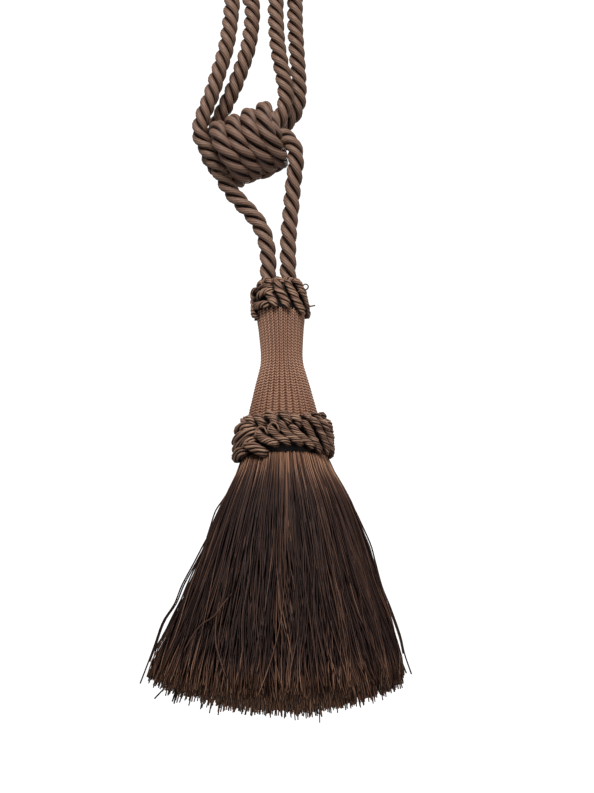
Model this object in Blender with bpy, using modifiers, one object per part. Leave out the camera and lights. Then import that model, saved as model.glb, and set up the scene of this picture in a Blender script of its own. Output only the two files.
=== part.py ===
"""Curtain tieback tassel: twisted rope, a wound knot and one key tassel.

Metres, +Z up. The origin is the inner top of the two rope loops, where a hook
carries the tieback. +X is to the right of the front, which faces -Y.
"""

import math

import bmesh
import bpy
from mathutils import Matrix, Vector

COLLECTION = "curtain_tieback_tassel"

# Rope: three plies laid in an S twist.
ROPE_DIAMETER = 0.0092
ROPE_PLIES = 3
ROPE_LAY = 0.0225
RINGS_PER_LAY = 8
PLY_CREST = 0.5 * ROPE_DIAMETER
PLY_GROOVE = 0.62 * PLY_CREST
PLY_HALF_WIDTH = math.radians(31)

# The two loops go side by side over the hook.
LOOP_RADIUS = 0.0185
LOOP_SIDE_STEP = 0.0049
LOOP_CENTRE_Z = 0.5 * ROPE_DIAMETER - LOOP_RADIUS

# Knot: a barrel of four wraps, tilted up to the right.
KNOT_CENTRE = Vector((-0.0064, 0.0, -0.1288))
KNOT_TILT = math.radians(24)
WRAP_RADIUS = 0.01545
WRAP_SPACING = 0.0096
WRAPS_EACH_SIDE = 2
WRAP_STEP = math.radians(13.5)
TUCK_RADIUS = 0.0085
TUCK_TURN = math.radians(75)
BOTTOM_PINCH = 0.19
BOTTOM_SHIFT = 0.0015
FRONT_BOW = 0.0040
CORE_RADIUS = 0.0135
CORE_HALF_LENGTH = 0.0108
CORE_BEVEL = 0.002

# The tassel hangs from its legs with its axis a little off plumb.
HEAD_TOP = Vector((0.0095, 0.0, -0.2125))
HEAD_TILT = math.radians(1.4)

# Head: a turned mould in a knitted cover. Heights run down from its top.
HEAD_PROFILE = (
    # depth, radius
    (0.0000, 0.0108),
    (0.0015, 0.0120),
    (0.0175, 0.0130),
    (0.0255, 0.0123),
    (0.0340, 0.0116),
    (0.0400, 0.0113),
    (0.0455, 0.0117),
    (0.0510, 0.0131),
    (0.0580, 0.0150),
    (0.0650, 0.0167),
    (0.0720, 0.0184),
    (0.0800, 0.0195),
    (0.0985, 0.0198),
)
HEAD_WALES = 30
WALE_DEPTH = 0.0005

# Ruffs: rings of thick wound loops, which lie aslant.
RUFFS = {
    # name: top and bottom depth, bore at its foot and at its top, outer radius, loops
    "ruff_top": {"top": -0.0015, "bottom": 0.0185, "bore": 0.0134, "throat": 0.0134,
                 "outer": 0.0178, "loops": 17},
    "ruff_low": {"top": 0.0750, "bottom": 0.0985, "bore": 0.0202, "throat": 0.0196,
                 "outer": 0.0282, "loops": 27},
}
POINTS_PER_LOOP = 4
RUFF_RELIEF = 0.0014
LOOP_SLANT = 1.3
RUFF_SIDE_POINTS = 3
RUFF_ROUND = math.radians(86)
RUFF_FULLNESS = 0.6
BORE_SHARE = 0.05

# Skirt: strands of thread from a flat backing under the head.
BACKING_TOP = 0.0988
BACKING_THICKNESS = 0.0030
BACKING_RADIUS = 0.0238
STRAND_WIDTH = 0.0024
STRAND_SIDES = 3
SKIRT_LEAN = -0.0075
STRAND_RINGS = (
    # root radius, end radius, length, strands
    (0.0224, 0.0715, 0.1245, 60),
    (0.0196, 0.0640, 0.1275, 52),
    (0.0162, 0.0530, 0.1305, 42),
    (0.0124, 0.0405, 0.1325, 32),
    (0.0084, 0.0275, 0.1335, 22),
    (0.0044, 0.0140, 0.1335, 12),
)
STRAND_UNEVEN = 0.0035
STRAND_BOW = 0.12
STRAND_WIDTHS = (0.55, 1.0, 0.8)
GOLDEN_TURN = math.radians(137.508)

COLOURS = {
    # base colour, roughness
    "rope": ((0.110, 0.066, 0.042, 1.0), 0.50),
    "knot": ((0.115, 0.070, 0.045, 1.0), 0.50),
    "ruff": ((0.100, 0.060, 0.040, 1.0), 0.55),
    "head": ((0.135, 0.080, 0.055, 1.0), 0.60),
    "skirt": ((0.050, 0.028, 0.018, 1.0), 0.45),
}


# Routes, chosen by hand: x, y, z down each strand of rope.
LEFT_LEG_AND_STRAND_1 = (
    (0.0027, 0.0000, -0.2120),
    (0.0028, 0.0000, -0.1987),
    (0.0021, 0.0000, -0.1905),
    (0.0006, 0.0000, -0.1835),
    (-0.0019, 0.0000, -0.1776),
    (-0.0060, 0.0000, -0.1714),
    (-0.0107, 0.0000, -0.1661),
    (-0.0159, 0.0000, -0.1602),
    (-0.0201, 0.0002, -0.1544),
    (-0.0238, 0.0010, -0.1474),
    (-0.0273, 0.0012, -0.1400),
    (-0.0314, 0.0006, -0.1331),
    (-0.0350, 0.0000, -0.1274),
    (-0.0366, -0.0006, -0.1205),
    (-0.0342, -0.0015, -0.1106),
    (-0.0303, -0.0025, -0.1006),
    (-0.0260, -0.0035, -0.0864),
    (-0.0222, -0.0045, -0.0733),
    (-0.0201, -0.0049, -0.0599),
    (-0.0188, -0.0049, -0.0450),
    (-0.0184, -0.0049, -0.0290),
)
STRAND_3 = (
    (0.0167, -0.0049, -0.0225),
    (0.0126, -0.0049, -0.0295),
    (0.0082, -0.0049, -0.0370),
    (0.0066, -0.0049, -0.0440),
    (0.0068, -0.0049, -0.0580),
    (0.0077, -0.0046, -0.0703),
    (0.0093, -0.0040, -0.0805),
    (0.0112, -0.0030, -0.0899),
    (0.0124, -0.0018, -0.0979),
    (0.0122, -0.0004, -0.1041),
    (0.0107, 0.0004, -0.1092),
    (0.0086, 0.0010, -0.1137),
    (0.0058, 0.0013, -0.1175),
)
STRAND_2 = (
    (-0.0276, 0.0156, -0.1376),
    (-0.0303, 0.0160, -0.1347),
    (-0.0320, 0.0163, -0.1308),
    (-0.0323, 0.0164, -0.1264),
    (-0.0306, 0.0155, -0.1186),
    (-0.0269, 0.0128, -0.1096),
    (-0.0222, 0.0098, -0.1005),
    (-0.0177, 0.0075, -0.0911),
    (-0.0137, 0.0060, -0.0808),
    (-0.0099, 0.0050, -0.0688),
    (-0.0080, 0.0049, -0.0570),
    (-0.0072, 0.0049, -0.0440),
    (-0.0086, 0.0049, -0.0370),
    (-0.0128, 0.0049, -0.0295),
    (-0.0168, 0.0049, -0.0225),
)
STRAND_4 = (
    (0.0182, 0.0049, -0.0260),
    (0.0178, 0.0049, -0.0374),
    (0.0178, 0.0049, -0.0532),
    (0.0186, 0.0052, -0.0687),
    (0.0194, 0.0065, -0.0806),
    (0.0199, 0.0086, -0.0908),
    (0.0195, 0.0108, -0.0985),
    (0.0171, 0.0132, -0.1052),
    (0.0129, 0.0150, -0.1098),
    (0.0090, 0.0161, -0.1136),
    (0.0067, 0.0163, -0.1180),
    (0.0060, 0.0158, -0.1221),
)
RIGHT_LEG = (
    (0.0063, -0.0050, -0.1260),
    (0.0088, -0.0053, -0.1258),
    (0.0114, -0.0056, -0.1265),
    (0.0138, -0.0056, -0.1280),
    (0.0158, -0.0055, -0.1303),
    (0.0172, -0.0053, -0.1331),
    (0.0181, -0.0050, -0.1364),
    (0.0183, -0.0045, -0.1401),
    (0.0180, -0.0035, -0.1448),
    (0.0169, -0.0014, -0.1525),
    (0.0160, 0.0000, -0.1610),
    (0.0153, 0.0000, -0.1693),
    (0.0145, 0.0000, -0.1776),
    (0.0139, 0.0000, -0.1888),
    (0.0139, 0.0000, -0.1987),
    (0.0139, 0.0000, -0.2120),
)


def clear_scene():
    """Remove every object that the file opened with."""
    for old in list(bpy.data.objects):
        bpy.data.objects.remove(old, do_unlink=True)


def new_collection(name):
    """Return a collection linked to the scene."""
    made = bpy.data.collections.new(name)
    bpy.context.scene.collection.children.link(made)
    return made


def material(slot):
    """Return the Principled material of a slot in COLOURS."""
    found = bpy.data.materials.get(slot)
    if found:
        return found
    colour, roughness = COLOURS[slot]
    made = bpy.data.materials.new(slot)
    made.use_nodes = True
    shader = made.node_tree.nodes["Principled BSDF"]
    shader.inputs["Base Color"].default_value = colour
    shader.inputs["Roughness"].default_value = roughness
    shader.inputs["Metallic"].default_value = 0.0
    return made


def add_object(name, mesh, slot, home):
    """Link a mesh as a named part with its own material."""
    part = bpy.data.objects.new(name, mesh)
    home.objects.link(part)
    mesh.materials.clear()
    mesh.materials.append(material(slot))
    mesh.shade_smooth()
    mesh.set_sharp_from_angle(angle=math.radians(50))
    return part


def solid_mesh(source):
    """Return a welded, outward mesh of an object as the viewport shows it."""
    graph = bpy.context.evaluated_depsgraph_get()
    mesh = bpy.data.meshes.new_from_object(source.evaluated_get(graph))
    shape = bmesh.new()
    shape.from_mesh(mesh)
    bmesh.ops.remove_doubles(shape, verts=shape.verts, dist=1e-6)
    bmesh.ops.triangulate(shape, faces=shape.faces)
    bmesh.ops.recalc_face_normals(shape, faces=shape.faces)
    shape.to_mesh(mesh)
    shape.free()
    bpy.data.objects.remove(source, do_unlink=True)
    return mesh


def smooth_points(route, step):
    """Walk a Catmull-Rom curve through the route's points in even steps."""
    ends = [2 * route[0] - route[1]] + list(route) + [2 * route[-1] - route[-2]]
    fine = []
    for before, start, stop, after in zip(ends, ends[1:], ends[2:], ends[3:]):
        for part in range(24):
            t = part / 24
            fine.append(0.5 * (2 * start + (stop - before) * t
                               + (2 * before - 5 * start + 4 * stop - after) * t ** 2
                               + (3 * start - before - 3 * stop + after) * t ** 3))
    fine.append(route[-1])
    length = sum((b - a).length for a, b in zip(fine, fine[1:]))
    count = max(2, round(length / step))
    spacing = length / count
    walked = 0.0
    even = [fine[0]]
    for a, b in zip(fine, fine[1:]):
        run = (b - a).length
        while len(even) < count and walked + run >= spacing * len(even):
            even.append(a.lerp(b, (spacing * len(even) - walked) / run))
        walked += run
    even.append(fine[-1])
    return even


def section_curve(name, points, guides):
    """Return a closed flat curve that a sweep uses as its section."""
    data = bpy.data.curves.new(name, "CURVE")
    data.dimensions = "2D"
    data.fill_mode = "NONE"
    spline = data.splines.new("POLY")
    spline.points.add(len(points) - 1)
    for point, (x, y) in zip(spline.points, points):
        point.co = (x, y, 0.0, 1.0)
    spline.use_cyclic_u = True
    guide = bpy.data.objects.new(name, data)
    guide.hide_render = True
    guide.display_type = "WIRE"
    guides.objects.link(guide)
    return guide


def rope_section():
    """Return the outline of the plies: two crest points and a groove for each."""
    points = []
    for ply in range(ROPE_PLIES):
        middle = math.tau * ply / ROPE_PLIES
        for turn, radius in ((-PLY_HALF_WIDTH, PLY_CREST), (PLY_HALF_WIDTH, PLY_CREST),
                             (math.pi / ROPE_PLIES, PLY_GROOVE)):
            points.append((radius * math.cos(middle + turn), radius * math.sin(middle + turn)))
    return points


def sweep(name, lines, section, guides):
    """Sweep a section along lines of (point, turn, scale); return a closed mesh."""
    data = bpy.data.curves.new(name, "CURVE")
    data.dimensions = "3D"
    data.bevel_mode = "OBJECT"
    data.bevel_object = section
    data.use_fill_caps = True
    for line in lines:
        spline = data.splines.new("POLY")
        spline.points.add(len(line) - 1)
        for point, (place, turn, scale) in zip(spline.points, line):
            point.co = (*place, 1.0)
            point.tilt = turn
            point.radius = scale
    holder = bpy.data.objects.new(name, data)
    guides.objects.link(holder)
    bpy.context.view_layer.update()
    return solid_mesh(holder)


def twisted(points):
    """Give each point of a rope's centreline the turn of its plies."""
    line = [(points[0], 0.0, 1.0)]
    turn = 0.0
    for a, b in zip(points, points[1:]):
        turn -= math.tau * (b - a).length / ROPE_LAY
        line.append((b, turn, 1.0))
    return line


def loop_arc(side):
    """Return the half circle over the hook, from -X to +X, at one side of it."""
    return [Vector((-LOOP_RADIUS * math.cos(turn), side, LOOP_CENTRE_Z + LOOP_RADIUS * math.sin(turn)))
            for turn in (math.pi * step / 8 for step in range(9))]


def vectors(rows):
    """Turn rows of coordinates into vectors."""
    return [Vector(row) for row in rows]


def make_rope(name, route, section, home, guides):
    """Make one length of laid rope along a route."""
    points = smooth_points(route, ROPE_LAY / RINGS_PER_LAY)
    mesh = sweep(name, [twisted(points)], section, guides)
    return add_object(name, mesh, "rope", home)


def make_ropes(section, home, guides):
    """Make the two looped ropes and the right leg."""
    front = vectors(LEFT_LEG_AND_STRAND_1) + loop_arc(-LOOP_SIDE_STEP) + vectors(STRAND_3)
    back = vectors(STRAND_2) + loop_arc(LOOP_SIDE_STEP) + vectors(STRAND_4)
    make_rope("rope_front_loop", front, section, home, guides)
    make_rope("rope_back_loop", back, section, home, guides)
    make_rope("rope_right_leg", vectors(RIGHT_LEG), section, home, guides)


def ease(t):
    """Rise smoothly from 0 to 1."""
    t = min(max(t, 0.0), 1.0)
    return t * t * (3 - 2 * t)


def wrap_points(side):
    """Wind two wraps from one end of the knot to its middle, then tuck the end in.

    Each wrap bows towards -X across the front and steps to the next behind. The
    winding starts behind the knot, where a strand of rope comes down to it.
    """
    axis = Vector((math.cos(KNOT_TILT), 0.0, math.sin(KNOT_TILT)))
    upward = Vector((-math.sin(KNOT_TILT), 0.0, math.cos(KNOT_TILT)))
    forward = Vector((0.0, -1.0, 0.0))
    start = 0.5 * math.pi
    stop = math.tau * WRAPS_EACH_SIDE + TUCK_TURN
    count = math.ceil((stop - start) / WRAP_STEP)
    points = []
    for step in range(count + 1):
        wound = start + (stop - start) * step / count
        lap, part = divmod(wound, math.tau)
        tucked = ease((wound - math.tau * WRAPS_EACH_SIDE) / TUCK_TURN)
        moved = lap - 0.5 - WRAPS_EACH_SIDE
        if lap < WRAPS_EACH_SIDE:
            moved += ease(part / math.pi)
        radius = WRAP_RADIUS + (TUCK_RADIUS - WRAP_RADIUS) * tucked
        low = 0.5 * (1 - math.cos(wound))
        along = -side * moved * WRAP_SPACING * (1 - BOTTOM_PINCH * low)
        along -= BOTTOM_SHIFT * low + FRONT_BOW * math.sin(wound) ** 2
        points.append(KNOT_CENTRE + axis * along
                      + radius * (upward * math.cos(wound) - forward * math.sin(wound)))
    return points


def turned(name, profile, steps, guides):
    """Turn a closed or axis-ended profile of (radius, height) about Z."""
    data = bpy.data.meshes.new(name)
    closed = min(radius for radius, _ in profile) > 0
    edges = [(i, i + 1) for i in range(len(profile) - 1)]
    if closed:
        edges.append((len(profile) - 1, 0))
    data.from_pydata([(radius, 0.0, height) for radius, height in profile], edges, [])
    holder = bpy.data.objects.new(name, data)
    guides.objects.link(holder)
    screw = holder.modifiers.new("turn", "SCREW")
    screw.steps = steps
    screw.render_steps = steps
    screw.use_merge_vertices = True
    screw.merge_threshold = 0.00001
    bpy.context.view_layer.update()
    return solid_mesh(holder)


def join_solids(base, others, guides):
    """Fuse meshes into a base mesh with an exact union."""
    holder = bpy.data.objects.new("fuse_base", base)
    guides.objects.link(holder)
    cutters = []
    for mesh in others:
        cutter = bpy.data.objects.new("fuse_part", mesh)
        cutter.hide_render = True
        cutter.display_type = "WIRE"
        guides.objects.link(cutter)
        cutters.append(cutter)
        union = holder.modifiers.new("union", "BOOLEAN")
        union.operation = "UNION"
        union.solver = "EXACT"
        union.use_self = True
        union.object = cutter
    bpy.context.view_layer.update()
    fused = solid_mesh(holder)
    for cutter in cutters:
        bpy.data.objects.remove(cutter, do_unlink=True)
    return fused


def make_knot(section, home, guides):
    """Make the wound knot: a round core under four wraps of rope."""
    half = CORE_HALF_LENGTH
    rim = CORE_RADIUS - CORE_BEVEL
    core = turned("knot_core", ((0.0, half), (rim, half), (CORE_RADIUS, half - CORE_BEVEL),
                                (CORE_RADIUS, CORE_BEVEL - half), (rim, -half), (0.0, -half)),
                  36, guides)
    core.transform(Matrix.Translation(KNOT_CENTRE)
                   @ Matrix.Rotation(math.pi / 2 - KNOT_TILT, 4, "Y"))
    wraps = [sweep("knot_wraps", [twisted(wrap_points(side))], section, guides)
             for side in (-1, 1)]
    return add_object("knot", join_solids(core, wraps, guides), "knot", home)


def hang(part):
    """Set a piece that is modelled down from the head's top in its place."""
    part.location = HEAD_TOP
    part.rotation_euler = (0.0, -HEAD_TILT, 0.0)


def make_head(home, guides):
    """Make the turned head with the wales of its knitted cover."""
    profile = [(0.0, -HEAD_PROFILE[0][0])]
    profile += [(radius, -depth) for depth, radius in HEAD_PROFILE]
    profile.append((0.0, -HEAD_PROFILE[-1][0]))
    mesh = turned("head", profile, 2 * HEAD_WALES, guides)
    for vertex in mesh.vertices:
        across = Vector((vertex.co.x, vertex.co.y, 0.0))
        if across.length < HEAD_PROFILE[0][1] * 1.01:
            continue
        wale = math.cos(HEAD_WALES * math.atan2(across.y, across.x))
        vertex.co += across.normalized() * (wale - 1) * 0.5 * WALE_DEPTH
    hang(add_object("head", mesh, "head", home))


def ruff_profile(ruff):
    """Return the closed section of a ruff: a bore and a full, rounded outside."""
    middle = 0.5 * (ruff["top"] + ruff["bottom"])
    half_height = 0.5 * (ruff["bottom"] - ruff["top"])
    bulge = ruff["outer"] - ruff["bore"]
    profile = [(ruff["bore"], RUFF_RELIEF - ruff["bottom"])]
    for step in range(2 * RUFF_SIDE_POINTS + 1):
        turn = RUFF_ROUND * (step / RUFF_SIDE_POINTS - 1)
        profile.append((ruff["bore"] + bulge * math.cos(turn) ** RUFF_FULLNESS,
                        half_height * math.sin(turn) - middle))
    profile.append((ruff["throat"], -ruff["top"] - RUFF_RELIEF))
    return profile


def make_ruff(name, ruff, home, guides):
    """Make a ring of slanting loops around the head."""
    middle = 0.5 * (ruff["top"] + ruff["bottom"])
    half_height = 0.5 * (ruff["bottom"] - ruff["top"])
    mesh = turned(name, ruff_profile(ruff), ruff["loops"] * POINTS_PER_LOOP, guides)
    for vertex in mesh.vertices:
        across = Vector((vertex.co.x, vertex.co.y, 0.0))
        outward = (across.length - ruff["bore"]) / (ruff["outer"] - ruff["bore"])
        if outward < BORE_SHARE:
            continue
        height = (vertex.co.z + middle) / half_height
        around = math.atan2(across.y, across.x) * ruff["loops"]
        hollow = 0.5 - 0.5 * math.cos(around + LOOP_SLANT * math.pi * height)
        vertex.co -= across.normalized() * 2 * RUFF_RELIEF * hollow * min(outward + 0.3, 1.0)
    hang(add_object(name, mesh, "ruff", home))


def strand_line(root, reach, length, bearing):
    """Return one strand's (point, turn, scale): out from under the backing and down."""
    outward = Vector((math.cos(bearing), math.sin(bearing), 0.0))
    fall = math.sqrt(length ** 2 - (reach - root) ** 2)
    top = -BACKING_TOP - 0.5 * BACKING_THICKNESS
    line = []
    for part, width in enumerate(STRAND_WIDTHS):
        t = part / (len(STRAND_WIDTHS) - 1)
        spread = root + (reach - root) * t * (1 + STRAND_BOW - STRAND_BOW * t)
        place = outward * spread + Vector((SKIRT_LEAN * t ** 1.5, 0.0, top - fall * t))
        line.append((place, bearing, width))
    return line


def make_skirt(home, guides):
    """Make the thread skirt: strands fused at their roots into a flat backing."""
    triangle = [(0.5 * STRAND_WIDTH * math.cos(math.tau * side / STRAND_SIDES),
                 0.5 * STRAND_WIDTH * math.sin(math.tau * side / STRAND_SIDES))
                for side in range(STRAND_SIDES)]
    section = section_curve("strand_section", triangle, guides)
    lines = []
    for ring, (root, reach, length, count) in enumerate(STRAND_RINGS):
        for strand in range(count):
            uneven = STRAND_UNEVEN * math.sin((len(lines) + 1) * GOLDEN_TURN)
            bearing = math.tau * (strand + 0.5 * (ring % 2)) / count
            lines.append(strand_line(root, reach, length + uneven, bearing))
    strands = sweep("strands", lines, section, guides)
    bottom = -BACKING_TOP - BACKING_THICKNESS
    backing = turned("backing", ((0.0, -BACKING_TOP), (BACKING_RADIUS, -BACKING_TOP),
                                 (BACKING_RADIUS, bottom), (0.0, bottom)), 48, guides)
    hang(add_object("skirt", join_solids(backing, [strands], guides), "skirt", home))


def main():
    """Build the tieback tassel."""
    clear_scene()
    home = new_collection(COLLECTION)
    guides = new_collection("guides")
    section = section_curve("rope_section", rope_section(), guides)
    make_ropes(section, home, guides)
    make_knot(section, home, guides)
    make_head(home, guides)
    for name, ruff in RUFFS.items():
        make_ruff(name, ruff, home, guides)
    make_skirt(home, guides)


main()
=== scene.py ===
"""Curtain tieback tassel: its finish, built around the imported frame.

Metres, +Z up. The origin is the inner top of the two rope loops, where a hook
carries the tieback. +X is to the right of the front, which faces -Y.
"""

import math

import bpy
import numpy as np
from mathutils import Matrix, Vector


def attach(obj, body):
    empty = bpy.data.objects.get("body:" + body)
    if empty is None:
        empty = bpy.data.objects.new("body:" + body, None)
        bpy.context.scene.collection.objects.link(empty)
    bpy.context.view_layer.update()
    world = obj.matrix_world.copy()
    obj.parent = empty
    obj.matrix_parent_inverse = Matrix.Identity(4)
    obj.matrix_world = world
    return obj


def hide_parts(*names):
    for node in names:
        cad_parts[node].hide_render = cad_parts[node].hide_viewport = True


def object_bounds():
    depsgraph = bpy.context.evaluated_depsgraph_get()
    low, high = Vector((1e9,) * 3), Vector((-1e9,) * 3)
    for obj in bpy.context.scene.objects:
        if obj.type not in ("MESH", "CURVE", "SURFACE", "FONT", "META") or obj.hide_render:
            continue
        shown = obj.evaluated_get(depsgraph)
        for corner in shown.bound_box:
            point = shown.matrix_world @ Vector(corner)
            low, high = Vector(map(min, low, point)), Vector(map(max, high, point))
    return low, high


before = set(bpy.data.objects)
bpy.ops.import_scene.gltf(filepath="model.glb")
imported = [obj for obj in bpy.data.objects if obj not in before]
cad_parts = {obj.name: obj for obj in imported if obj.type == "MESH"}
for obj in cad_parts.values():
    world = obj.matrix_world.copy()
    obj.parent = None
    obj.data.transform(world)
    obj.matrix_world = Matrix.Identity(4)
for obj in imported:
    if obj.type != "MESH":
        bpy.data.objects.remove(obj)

CAD_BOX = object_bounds()
TAU = math.tau
CURVE_PARTS = 24
ARC_PARTS = 8

# Camera: a little below the tassel's skirt, looking up at it.
PHOTO_HEIGHT = 793
FOCAL_PIXELS = 1395.0
SENSOR = 36.0
CAMERA_PLACE = (0.0189, -0.75, -0.4279)
CAMERA_PITCH = math.radians(11.4875)

# Studio.
BACKDROP_STRENGTH = 1.12
AMBIENT_STRENGTH = 0.30
FLOOR_DROP = 0.17
FLOOR_HALF_SIZE = 30.0
FLOOR_PAINT = 0.95
FLOOR_ROUGHNESS = 0.9
FLOOR_GLOW = 0.84
KEY = {"place": (-0.12, -1.15, 0.85), "size": 0.50, "power": 25.2}
FILL = {"place": (1.0, -0.8, -0.2), "size": 0.9, "power": 2.5}
LOW = {"place": (0.1, -1.1, -0.85), "size": 0.6, "power": 7.5}
REAR = {"place": (0.4, 1.3, 0.4), "size": 1.0, "power": 11.0}
LIGHT_AIM = (0.0, 0.0, -0.25)

# Rope: three plies laid in an S twist. The lay is the length of one turn: it is longer in the
# legs than in the loops, and changes between two heights.
ROPE_DIAMETER = 0.0092
ROPE_PLIES = 3
ROPE_STEP = 0.0010
LOOP_LAY = 0.0212
LEG_LAY = 0.0250
KNOT_LAY = 0.0285
LAY_HEIGHTS = (-0.150, -0.110)
PLY_RADIUS = 0.00206
KNOT_PLY_RADIUS = 0.00225
PLY_OFFSET = 0.00270
PLY_SIDES = 36
PLY_SWELL = 0.02
PLY_SWELL_LENGTH = 0.0173
YARN_RIDGES = 9
YARN_RELIEF = 0.045
YARN_TURNS_PER_METRE = 30.0
# The painted shade in the grooves between the plies ends a little inside the rope's outside, in
# shares of its radius. The yarn ridges' crests get painted light.
PLY_SHADE_FROM = 0.58
PLY_SHADE_RUN = 0.40
PLY_TONE = 0.88
RIDGE_LIGHT = 0.20

# The two loops go side by side over the hook.
LOOP_RADIUS = 0.0185
LOOP_SIDE_STEP = 0.0049
LOOP_CENTRE_Z = 0.5 * ROPE_DIAMETER - LOOP_RADIUS

# Knot: a barrel of four wraps, tilted up to the right.
KNOT_CENTRE = np.array((-0.0064, 0.0, -0.1288))
KNOT_TILT = math.radians(24)
KNOT_AXIS = np.array((math.cos(KNOT_TILT), 0.0, math.sin(KNOT_TILT)))
KNOT_UPWARD = np.array((-math.sin(KNOT_TILT), 0.0, math.cos(KNOT_TILT)))
BACKWARD = np.array((0.0, 1.0, 0.0))
WRAP_RADIUS = 0.01545
WRAP_SPACING = 0.0096
WRAPS_EACH_SIDE = 2
WRAP_STEP = math.radians(3)
TUCK_RADIUS = 0.0085
TUCK_TURN = math.radians(75)
BOTTOM_PINCH = 0.19
BOTTOM_SHIFT = 0.0015
FRONT_BOW = 0.0040
CORE_RADIUS = 0.0112
CORE_HALF_LENGTH = 0.0135
CORE_RINGS = 17
CORE_SIDES = 32
CORE_END_SHARE = 0.02
# The layer under the wraps: after each number of turns, its radius and place along the axis.
UNDER_STEP = 1.5 * ROPE_STEP
UNDER_TURNS = (0.0, 1.1, 3.9, 5.0)
UNDER_RADII = (0.0020, 0.0098, 0.0098, 0.0020)
UNDER_SHIFTS = (-0.0110, -0.0140, 0.0140, 0.0110)
# The rope's last run, from the knot's right end along its underside.
TUCKED_RUN = (
    (0.0012, 0.0020, -0.1219),
    (0.0055, 0.0020, -0.1252),
    (0.0083, 0.0022, -0.1291),
    (0.0092, 0.0025, -0.1338),
    (0.0083, 0.0030, -0.1381),
    (0.0044, 0.0034, -0.1416),
    (-0.0022, 0.0036, -0.1439),
    (-0.0090, 0.0034, -0.1461),
    (-0.0152, 0.0030, -0.1477),
    (-0.0209, 0.0020, -0.1478),
    (-0.0242, 0.0000, -0.1449),
)

# The tassel hangs from its legs with its axis a little off plumb.
HEAD_TOP = Vector((0.0095, 0.0, -0.2125))
HEAD_TILT = math.radians(1.4)
HANG = Matrix.Translation(HEAD_TOP) @ Matrix.Rotation(-HEAD_TILT, 4, "Y")

# Head: a turned mould in a knitted cover. Heights run down from its top.
HEAD_PROFILE = (
    # depth, radius
    (0.0000, 0.0108),
    (0.0015, 0.0120),
    (0.0175, 0.0130),
    (0.0255, 0.0123),
    (0.0340, 0.0116),
    (0.0400, 0.0113),
    (0.0455, 0.0117),
    (0.0510, 0.0131),
    (0.0580, 0.0150),
    (0.0650, 0.0167),
    (0.0720, 0.0184),
    (0.0800, 0.0195),
    (0.0985, 0.0198),
)
HEAD_WALES = 30
POINTS_PER_WALE = 10
KNIT_FROM = 0.0115
KNIT_TO = 0.0840
KNIT_STEP = 0.00026
MOULD_STEP = 0.0005
COVER_LIFT = 0.00045
STITCH_PITCH = 0.00159
WALE_VALLEY = 0.00100
STITCH_RELIEF = 0.00080
WALE_WANDER = 0.12
# A stitch's two legs slant up from the middle of its wale, by less where the cover is stretched.
STITCH_RISE_DEPTHS = (0.012, 0.040, 0.055, 0.078)
STITCH_RISES = (0.00205, 0.00180, 0.00130, 0.00100)
LEG_PINCH = 0.45
STRETCHED_FROM = 0.045
STRETCHED_RUN = 0.030
STRETCHED_VALLEY = 0.5
# Painted shade lies in the gaps between the stitches' legs and in the wale valleys. It fades into the
# wale's own tone, more so low down, and at the front, where painted light flattens it.
LEG_SHADE_FROM = 0.34
LEG_SHADE_RUN = 0.56
KNIT_FADE = 0.14
KNIT_FADE_LOW = 0.44
KNIT_FRONT_LIGHT_FADE = 0.20
KNIT_FRONT_BEARING = 1.5 * math.pi
KNIT_FRONT_WIDTH = 0.45
WALE_TONE = 0.68
WALE_VALLEY_SHADE = 0.40

# Ruffs: rings of lobes, each a bundle of yarns twisted in an S round a core painted black as
# the shade between the yarns. A route is (bearing, depth) pairs: degrees to the right of the
# front, and mm down from the head's top.
LOBE_STEP = 0.0010
LOBE_LAY = 0.012
LOBE_RUN_IN = 0.25
LOBE_RUN_OUT = 0.12
LOBE_SLANT = 0.50
LOBE_END_SHARE = 0.50
LOBE_CORE_SHARE = 0.62
LOBE_CORE_SIDES = 10
SLEEVE_SIDES = 48
THREAD_END_SIDES = 6
YARN_SIDES = 8
YARN_FULLNESS = 2.5
YARN_CROWDING = 0.20
YARN_LIFT = 0.12
YARN_WIDTHS = (0.86, 1.06)
YARN_TONES = (0.65, 1.1)
YARN_TONE_WAVE = 0.12
# Painted shade between the yarns, and on the side of a lobe that faces the head.
YARN_SHADE_FROM = 0.66
YARN_SHADE_RUN = 0.30
OPEN_SIDE_FROM = -0.30

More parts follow.
